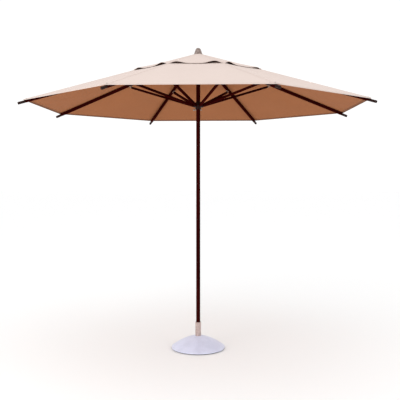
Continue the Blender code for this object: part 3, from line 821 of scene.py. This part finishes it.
class UMBRELLA_OT_seams(bpy.types.Operator):
    """Lays the folded seams along the ribs, and the patches and screws that hold the corners down"""

    bl_idname = "umbrella.seams"
    bl_label = "Seams and corners"

    def execute(self, context):
        canopy = context.scene.umbrella_canopy
        for k in RIBS:
            self.seam(k, f"rib_seam_{k}", canopy.opening + 0.002, CORNER_RADIUS - 0.0005, ridge_height)
            self.seam(k, f"cap_seam_{k}", canopy.apex_ring + 0.002, VENT_RADIUS - 0.001, cap_height)
            self.patch(k, canopy.patch)
            self.screw(k)
        return {"FINISHED"}

    def seam(self, k, name, first, last, height):
        """A flat-felled seam: a low arch across, width cos(turn) wide and rise sin(turn)^0.6 high, carried
        along the ridge with puckers that are a sine of the radius."""
        width, rise, sunk = 0.0055, 0.0012, 0.0007
        pucker, pucker_pitch = 0.00016, 0.013
        radius = np.linspace(first, last, 90)[:, None]
        turn = np.linspace(0, math.pi, 9)[None, :]
        across = width * np.cos(turn) * np.ones_like(radius)
        fall = math.tan(HALF) * math.tan(PITCH) * np.abs(across)
        puckers = pucker * np.sin(radius * 2 * math.pi / pucker_pitch) * np.sin(turn)
        upper = height(radius) + (rise + 0.0002) * np.sin(turn) ** 0.6 - 0.0002 + puckers - fall
        under = height(radius) - fall - sunk
        out = np.concatenate([radius + 0 * across] * 2, axis=1)
        side = np.concatenate([across, across[:, ::-1]], axis=1)
        up = np.concatenate([upper, under[:, ::-1]], axis=1)
        self.swept(k, name, out, side, up)

    def patch(self, k, size):
        """A doubled corner: a leaf-shaped patch that lies on the cloth over the rib's end. Its half width
        is wide (1 - (1 - share)^2.2)^0.75, with share from 0 at its tip to 1 at the hem."""
        wide, rise, stitched = 0.034, 0.0011, 0.0045
        share = np.linspace(0, 1, 26)[:, None]
        across = np.linspace(-1, 1, 25)[None, :]
        half = wide * np.clip(1 - (1 - share) ** 2.2, 0, 1) ** 0.75 + 0.0012
        side = across * half
        row = CORNER_RADIUS - 0.0016 - size * (1 - share) + 0 * side
        shape = rise * (1 - np.abs(across) ** 8) * np.clip(share * 30, 0, 1)
        up = ridge_height(row) + shape + 0.0002
        top = beside_rib(k, row - np.abs(side) * math.tan(HALF), side, up)
        uv = np.stack([side, row], axis=-1)
        border = np.minimum(half - np.abs(side), size * np.minimum(share, 1 - share))
        edges = np.stack([border + stitched, FAR + 0 * side, row + side], axis=-1)
        more = [np.concatenate([item, item[:, -1:]], axis=1) for item in (top, uv, edges)]
        more[0][:, -1] += top[:, -1] - top[:, -2]
        mesh, _ = doubled(f"corner_patch_{k}", *more, 0.0008)
        finished_mesh(f"corner_patch_{k}", mesh, material_of("cloth_outside"), f"rib_{k}", 55)

    def screw(self, k):
        """A domed screw with a washer, square to the rib's top."""
        along, pivot, up = rib_axes(k)
        radius = CORNER_RADIUS - 0.024
        seat = beside_rib(k, np.array(radius), np.array(0.0), np.array(ridge_height(radius) + 0.0008))
        dome = [(0, 0.0034), (0.0012, 0.0033), (0.0025, 0.0029), (0.0036, 0.0021), (0.0041, 0.0012)]
        washer = [(0.0041, 0.0010), (0.0068, 0.0009), (0.0072, 0.0005), (0.0072, -0.001), (0, -0.001)]
        mesh = lathe(f"corner_screw_{k}", dome + washer, 32)
        turned = points_of(mesh) @ np.stack([along, pivot, up]) + seat
        mesh.vertices.foreach_set("co", turned.astype(np.float32).ravel())
        mesh.update()
        finished_mesh(f"corner_screw_{k}", mesh, material_of("steel"), f"rib_{k}", 40)

    def swept(self, k, name, out, side, up):
        """Puts closed rings of points beside rib k and closes both ends."""
        points = beside_rib(k, out, side, up)
        uv = np.stack([side, out], axis=-1)
        edges = np.stack([FAR + 0 * out, FAR + 0 * out, out], axis=-1)
        mesh = surface(name, points, grid_faces(*points.shape[:2], wrap_columns=True), uv, edges)
        shape = bmesh.new()
        shape.from_mesh(mesh)
        bmesh.ops.holes_fill(shape, edges=[edge for edge in shape.edges if edge.is_boundary], sides=0)
        bmesh.ops.recalc_face_normals(shape, faces=shape.faces)
        shape.to_mesh(mesh)
        shape.free()
        finished_mesh(name, mesh, material_of("cloth_outside"), f"rib_{k}")


class UMBRELLA_OT_wood(bpy.types.Operator):
    """Finishes the ribs, the struts and the pole in stained wood"""

    bl_idname = "umbrella.wood"
    bl_label = "Wood"

    def execute(self, context):
        edge = context.scene.umbrella_wood.edge
        wood = material_of("mahogany")
        for k in RIBS:
            along, pivot, up = rib_axes(k)
            shift = np.array([0.37 * k, 0.05 * k, 0.0])
            down = along * math.cos(2 * PITCH) * -1 - up * math.sin(2 * PITCH)
            across_strut = np.cross(down, pivot)
            ribs = np.stack([along, pivot, up], axis=1)
            struts = np.stack([down, pivot, across_strut], axis=1)
            for node, axes, move in ((f"rib_{k}", ribs, shift), (f"strut_{k}", struts, -shift)):
                refined(node, wood, node, edge, lambda p, a=axes, m=move: p @ a + m)
        self.pole(wood)
        return {"FINISHED"}

    def pole(self, wood):
        """A fine round bar with eased ends, drilled across for the lock pin."""
        low, high = float(POLE_LOW[2]), float(POLE_HIGH[2])
        radius = float(POLE_HIGH[0])
        ease, bore, reach = 0.002, 0.0045, 0.03
        profile = [(0.0, high), (radius - ease, high), (radius, high - ease)]
        profile += [(radius, z) for z in np.linspace(high - ease, low + ease, 40)[1:-1]]
        profile += [(radius, low + ease), (radius - ease, low), (0.0, low)]
        mesh = lathe("pole_finished", profile, 72)
        piece = finished_mesh("pole_finished", mesh, wood, "pole")
        middle = (float(PIN_LOW[2]) + float(PIN_HIGH[2])) / 2
        bit = lathe("drill", [(0, reach), (bore, reach), (bore, -reach), (0, -reach)], 24)
        drill = bpy.data.objects.new("drill", bit)
        bpy.context.scene.collection.objects.link(drill)
        drill.rotation_euler = (0, math.pi / 2, 0)
        drill.location = (0, 0, middle)
        cut = piece.modifiers.new("drill", "BOOLEAN")
        cut.object = drill
        graph = bpy.context.evaluated_depsgraph_get()
        drilled = bpy.data.meshes.new_from_object(piece.evaluated_get(graph))
        piece.modifiers.clear()
        piece.data = drilled
        bpy.data.objects.remove(drill)
        add_vectors(drilled, "grain", points_of(drilled)[:, [2, 0, 1]])
        sharp_by_angle(drilled, 40)
        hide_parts("pole")


class UMBRELLA_OT_fittings(bpy.types.Operator):
    """Finishes the hub, the runner, the brackets, the end caps, the wires, the pin and the knob"""

    bl_idname = "umbrella.fittings"
    bl_label = "Fittings"

    def execute(self, context):
        plastic, steel = material_of("plastic"), material_of("steel")
        moulded = (
            ("crown_hub", "pole"), ("runner", "runner"), ("clamp_knob", "knob"), ("sleeve_bush", "bush")
        )
        for node, body in moulded:
            refined(node, plastic, body, 0.0006)
        for node, body in (("crown_ring", "pole"), ("runner_ring", "runner"), ("lock_pin", "lock_pin")):
            refined(node, steel, body, 0.0)
        for k in RIBS:
            refined(f"rib_bracket_{k}", steel, f"rib_{k}", 0.0004)
            refined(f"rib_end_cap_{k}", plastic, f"rib_{k}", 0.0012)
        return {"FINISHED"}


class UMBRELLA_OT_finial(bpy.types.Operator):
    """Turns the fluted bell on top of the pole"""

    bl_idname = "umbrella.finial"
    bl_label = "Finial"

    def execute(self, context):
        fittings = context.scene.umbrella_fittings
        low, high = float(FINIAL_LOW[2]), float(FINIAL_HIGH[2])
        wide = float(FINIAL_HIGH[0])
        bell = [
            (0.0, 1.0), (0.213, 0.985), (0.36, 0.95), (0.49, 0.885), (0.60, 0.78), (0.68, 0.66),
            (0.745, 0.54), (0.805, 0.42), (0.865, 0.30), (0.925, 0.19), (0.955, 0.145), (0.93, 0.125),
            (0.985, 0.10), (1.0, 0.065), (0.99, 0.02), (0.955, 0.0),
        ]
        outer = rounded([(wide * r, low + (high - low) * z) for r, z in bell], 0.0012, 3)
        bore = float(POLE_HIGH[0]) + 0.0004
        top = float(POLE_HIGH[2]) + 0.0006
        profile = outer + [(bore, low), (bore, top), (0.0, top)]
        heights = np.array([z for _, z in profile])
        radii = np.array([r for r, _ in profile])
        share = np.linspace(0, 1, len(profile))
        level = (heights - low) / (high - low)
        fade_low, fade_high = 0.003 / (high - low), 0.006 / (high - low)
        depth = 0.19 * np.clip((level - 0.15) / fade_low, 0, 1) * np.clip((0.97 - level) / fade_high, 0, 1)
        depth = np.where(radii > bore + 0.001, depth, 0.0)

        def flutes(angle, along):
            """Radius times 1 - depth (1 - |cos(n angle / 2)|^0.8), with n hollows round the bell."""
            cut = np.interp(along[:, 0], share, depth)[:, None]
            return 1 - cut * (1 - np.abs(np.cos(angle * fittings.flutes / 2)) ** 0.8)

        mesh = lathe("finial_turned", profile, fittings.flutes * 10, flutes)
        piece = finished_mesh("finial_turned", mesh, material_of("finial"), "pole", 60)
        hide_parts("finial")
        return {"FINISHED"}


class UMBRELLA_OT_base(bpy.types.Operator):
    """Casts the dome, its ballast and the sleeve: the dome falls as a straight line and a parabola mixed"""

    bl_idname = "umbrella.base"
    bl_label = "Base"

    def execute(self, context):
        settings = context.scene.umbrella_base
        wide, low, high = float(SHELL_HIGH[0]), float(SHELL_LOW[2]), float(SHELL_HIGH[2])
        sleeve, tall = float(SLEEVE_HIGH[0]), float(SLEEVE_HIGH[2])
        wall = 0.0038
        hub, shoulder = sleeve + 0.0006, wide - 0.013
        drop, straight = 0.0245, 0.42
        share = np.linspace(0, 1, 26)[1:]
        fall = straight * share + (1 - straight) * share**2
        dome = list(zip(hub + (shoulder - hub) * share, high - (high - drop) * fall))
        rim = [
            (wide - 0.006 + 0.006 * math.sin(a), 0.0115 + 0.0075 * math.cos(a))
            for a in np.linspace(0.35, math.pi - 0.5, 12)
        ]
        lip = [(hub, high - 0.0022), (hub + 0.0006, high - 0.0008), (hub + 0.0020, high - 0.0002)]
        outer = lip + dome + rim + [(wide - 0.006, low)]
        under = [(wide - 0.0095, low), (wide - 0.0100, 0.012), (shoulder - 0.008, drop - wall - 0.002)]
        under += [(r - 0.001, z - wall) for r, z in dome[-3::-3]] + [(hub, high - wall)]
        shell = lathe("base_dome", outer + under + [outer[0]], 128)
        finish = [material_of("shell"), material_of("foot")]
        piece = finished_mesh("base_dome", shell, finish, "base", 50)
        # Faces below the foot height take the painted-shade band along the bottom of the dome.
        centres = np.zeros(len(shell.polygons) * 3, np.float32)
        shell.polygons.foreach_get("center", centres)
        low_faces = centres[2::3] < settings.foot
        shell.polygons.foreach_set("material_index", low_faces.astype(np.int32))
        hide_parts("base_shell")

        bore = sleeve - 0.0055
        foot = float(SLEEVE_LOW[2])
        tube = rounded(
            [
                (bore, foot), (bore, tall), (sleeve - 0.0032, tall), (sleeve, tall - 0.0042),
                (sleeve, high + 0.006), (sleeve, foot), (bore, foot),
            ],
            0.0008, 3,
        )
        mesh = lathe("sleeve_tube", tube, 96)
        piece = finished_mesh("sleeve_tube", mesh, material_of("sleeve"), "base", 50)
        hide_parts("base_sleeve")
        node = frame["nodes"]["base_ballast"]
        for item in node.material_slots:
            item.material = material_of("ballast")
        return {"FINISHED"}


class UMBRELLA_OT_stage(bpy.types.Operator):
    """Sets the floor, the soft studio light and the camera"""

    bl_idname = "umbrella.stage"
    bl_label = "Stage"

    def execute(self, context):
        stage = context.scene.umbrella_stage
        scene = context.scene
        scene.view_settings.view_transform = "Standard"
        scene.view_settings.look = "None"
        scene.view_settings.exposure = 0.0
        angle = np.linspace(0, 2 * math.pi, 96, endpoint=False)[None, :]
        radius = 0.001 + 60.0 * np.linspace(0, 1, 24)[:, None] ** 2
        points = np.stack([radius * np.cos(angle), radius * np.sin(angle), 0 * radius * angle], axis=-1)
        mesh = surface("floor", points, grid_faces(24, 96, wrap_columns=True))
        floor = bpy.data.objects.new("floor", mesh)
        scene.collection.objects.link(floor)
        pale = bpy.data.materials.new("pale_floor")
        pale.use_nodes = True
        shader = pale.node_tree.nodes["Principled BSDF"]
        shader.inputs["Base Color"].default_value = (0.94, 0.94, 0.94, 1)
        shader.inputs["Roughness"].default_value = 0.9
        mesh.materials.append(pale)

        world = bpy.data.worlds.new("studio")
        scene.world = world
        world.use_nodes = True
        world.node_tree.nodes["Background"].inputs["Color"].default_value = (1.0, 1.0, 1.0, 1)
        world.node_tree.nodes["Background"].inputs["Strength"].default_value = 1.06
        for name, place_at, size, power, tint in LIGHTS:
            lamp = bpy.data.lights.new(name, "AREA")
            lamp.shape = "DISK"
            lamp.size = size
            lamp.energy = power
            lamp.color = tint
            light = bpy.data.objects.new(name, lamp)
            scene.collection.objects.link(light)
            light.location = place_at
            aim = np.array(LIGHTS_AIM) - np.array(place_at)
            light.rotation_euler = (
                math.atan2(math.hypot(aim[0], aim[1]), -aim[2]), 0, math.atan2(-aim[0], aim[1])
            )
        camera = bpy.data.objects.new("camera", bpy.data.cameras.new("camera"))
        scene.collection.objects.link(camera)
        camera.data.sensor_width = 36.0
        camera.data.lens = stage.lens
        camera.data.shift_x = 0.0045
        camera.data.shift_y = -0.060
        camera.data.clip_end = 200.0
        camera.location = (
            stage.distance * math.sin(stage.turn), -stage.distance * math.cos(stage.turn), stage.height
        )
        camera.rotation_euler = (math.pi / 2, 0, stage.turn)
        scene.camera = camera
        return {"FINISHED"}


OPERATORS = (
    UMBRELLA_OT_stage, UMBRELLA_OT_wood, UMBRELLA_OT_fittings, UMBRELLA_OT_finial, UMBRELLA_OT_base,
    UMBRELLA_OT_canopy, UMBRELLA_OT_vent_cap, UMBRELLA_OT_seams,
)


class UMBRELLA_PT_panel(bpy.types.Panel):
    """Lists the umbrella's settings and its making steps"""

    bl_idname = "UMBRELLA_PT_panel"
    bl_label = "Umbrella"
    bl_space_type = "VIEW_3D"
    bl_region_type = "UI"
    bl_category = "Umbrella"

    def draw(self, context):
        for key, group in SETTINGS.items():
            box = self.layout.box()
            for prop in group.__annotations__:
                box.prop(getattr(context.scene, key), prop)
        for operator in OPERATORS:
            self.layout.operator(operator.bl_idname)


def register():
    for item in (*SETTINGS.values(), *OPERATORS, UMBRELLA_PT_panel):
        bpy.utils.register_class(item)
    for key, group in SETTINGS.items():
        setattr(bpy.types.Scene, key, PointerProperty(type=group))


def unregister():
    for key in SETTINGS:
        delattr(bpy.types.Scene, key)
    for item in reversed((*SETTINGS.values(), *OPERATORS, UMBRELLA_PT_panel)):
        bpy.utils.unregister_class(item)


def main():
    """Makes every piece in order."""
    register()
    for operator in OPERATORS:
        area, name = operator.bl_idname.split(".")
        getattr(getattr(bpy.ops, area), name)()
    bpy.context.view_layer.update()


if __name__ == "__main__":
    main()
